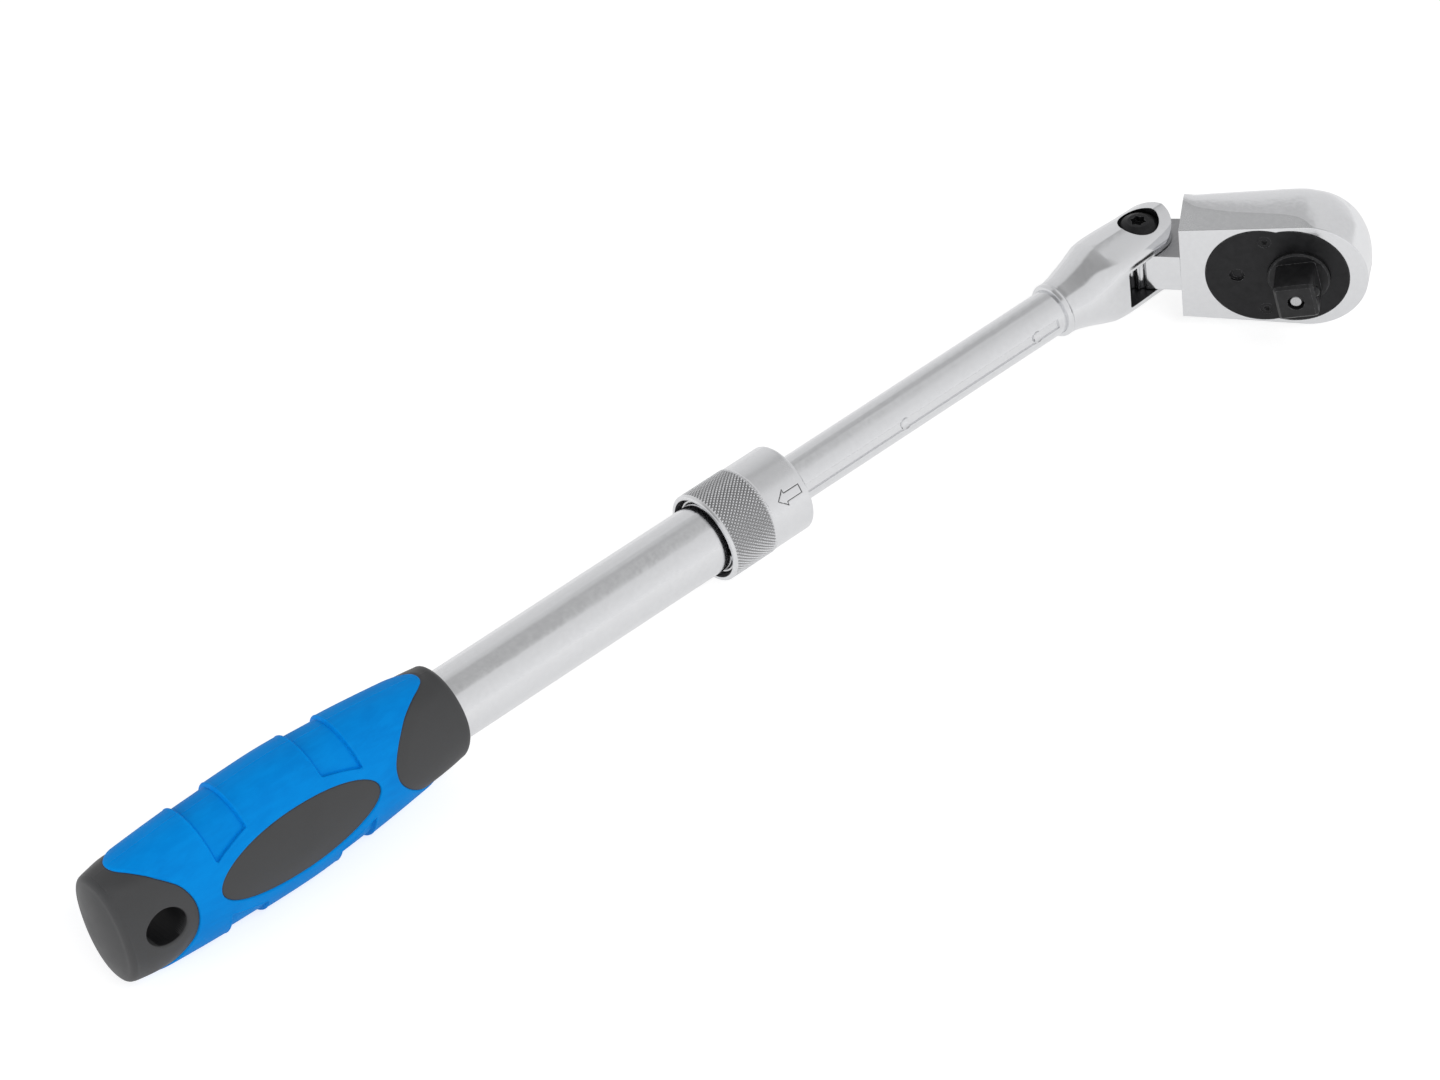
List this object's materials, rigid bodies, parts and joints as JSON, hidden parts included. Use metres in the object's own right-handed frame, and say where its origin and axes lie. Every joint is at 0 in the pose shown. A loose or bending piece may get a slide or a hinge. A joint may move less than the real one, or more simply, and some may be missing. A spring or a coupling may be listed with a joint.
{
  "type": "flex-head ratchet handle",
  "caption": "Telescopic flex-head ratchet handle with a quick-release square drive, a sleeve that locks the extension and a two-colour grip with a hang hole.",
  "frame": {"origin": "centre of the hang hole, on the handle's axis", "axes": "+X along the handle towards the head, +Z along the flex pivot on the screw-head side, -Y towards the drive side of a straight head; the grip is turned 5.5 degrees about +X from the flex pivot, and the tool lies on its side"},
  "size_m": [0.4631, 0.0774, 0.0452],
  "materials": {
    "black_grip": "fine matte texture, dark charcoal",
    "blue_grip": "soft satin blue overmould",
    "plug_plastic": "plain",
    "chrome_tube": "polished, fine drawn lines along the tube",
    "chrome_collar": "diamond knurl, satin bright",
    "chrome_shaft": "polished, fine lines",
    "chrome_forging": "mirror polish on a soft forged form",
    "bright_steel": "ground",
    "spring_steel": "drawn wire",
    "bearing_bronze": "machined",
    "black_oxide": "black oxide, satin",
    "black_phosphate": "black phosphate, satin, oiled",
    "lever_black": "black oxide, satin"
  },
  "bodies": {
    "handle": {"grip_core": "black_grip", "grip_sleeve": "blue_grip", "handle_tube": "chrome_tube", "tube_plug": "plug_plastic", "lock_nose": "bright_steel", "spring_ring": "spring_steel", "collar_spring": "spring_steel"},
    "collar": {"lock_collar": "chrome_collar"},
    "lock_ball_body": {"lock_ball": "bright_steel"},
    "shaft": {"inner_shaft": "chrome_shaft", "tail_bush": "bearing_bronze", "flex_fork": "chrome_forging", "pivot_screw": "black_oxide", "pivot_washers": "spring_steel", "detent_spring": "spring_steel"},
    "detent": {"detent_plunger": "bright_steel"},
    "head": {"head_housing": "chrome_forging", "cover_plate": "black_oxide", "cover_screws": "black_oxide", "pawl_pin": "black_oxide"},
    "drive": {"drive_gear": "black_phosphate", "release_ring": "spring_steel", "release_spring": "spring_steel"},
    "release": {"release_button": "bright_steel", "release_rod": "bright_steel"},
    "socket_ball_body": {"socket_ball": "black_phosphate"},
    "lever": {"reverse_lever": "lever_black", "lever_plunger": "bright_steel", "lever_spring": "spring_steel"},
    "pawl_body": {"pawl": "black_phosphate"}
  },
  "joints": [
    {"name": "collar_slide", "type": "slide", "parent": "handle", "child": "collar", "axis": [1, 0, 0], "range_m": [0, 0.004], "deforming": ["collar_spring"]},
    {"name": "lock_ball_drop", "type": "slide", "parent": "handle", "child": "lock_ball_body", "axis": [0, 0.9848, -0.1736], "range_m": [0, 0.0008]},
    {"name": "shaft_extension", "type": "slide", "parent": "handle", "child": "shaft", "axis": [1, 0, 0], "range_m": [-0.1084, 0]},
    {"name": "detent_click", "type": "slide", "parent": "shaft", "child": "detent", "axis": [1, 0, 0], "range_m": [0, 0.0007], "deforming": ["detent_spring"]},
    {"name": "head_flex", "type": "hinge", "parent": "shaft", "child": "head", "pos_m": [0.3945, 0, 0], "axis": [0, 0, 1], "range_deg": [-33.33, 133.33]},
    {"name": "drive_spin", "type": "hinge", "parent": "head", "child": "drive", "pos_m": [0.41962, -0.0455, 0], "axis": [-0.766, -0.6428, 0], "continuous": true},
    {"name": "release_push", "type": "slide", "parent": "drive", "child": "release", "axis": [-0.766, -0.6428, 0], "range_m": [0, 0.0025], "deforming": ["release_spring"]},
    {"name": "socket_ball_drop", "type": "slide", "parent": "drive", "child": "socket_ball_body", "axis": [-0.6345, 0.7562, -0.1599], "range_m": [0, 0.001]},
    {"name": "lever_turn", "type": "hinge", "parent": "head", "child": "lever", "pos_m": [0.41598, -0.01004, 0], "axis": [-0.766, -0.6428, 0], "range_deg": [-44, 0]},
    {"name": "pawl_rock", "type": "hinge", "parent": "head", "child": "pawl_body", "pos_m": [0.41475, -0.02413, 0], "axis": [-0.766, -0.6428, 0], "range_deg": [-6.8, 0]}
  ],
  "couplings": [
    {"joint": "lock_ball_drop", "follows": "collar_slide", "ratio": 0.2},
    {"joint": "socket_ball_drop", "follows": "release_push", "ratio": 0.4},
    {"joint": "pawl_rock", "follows": "lever_turn", "ratio": 0.15455}
  ]
}
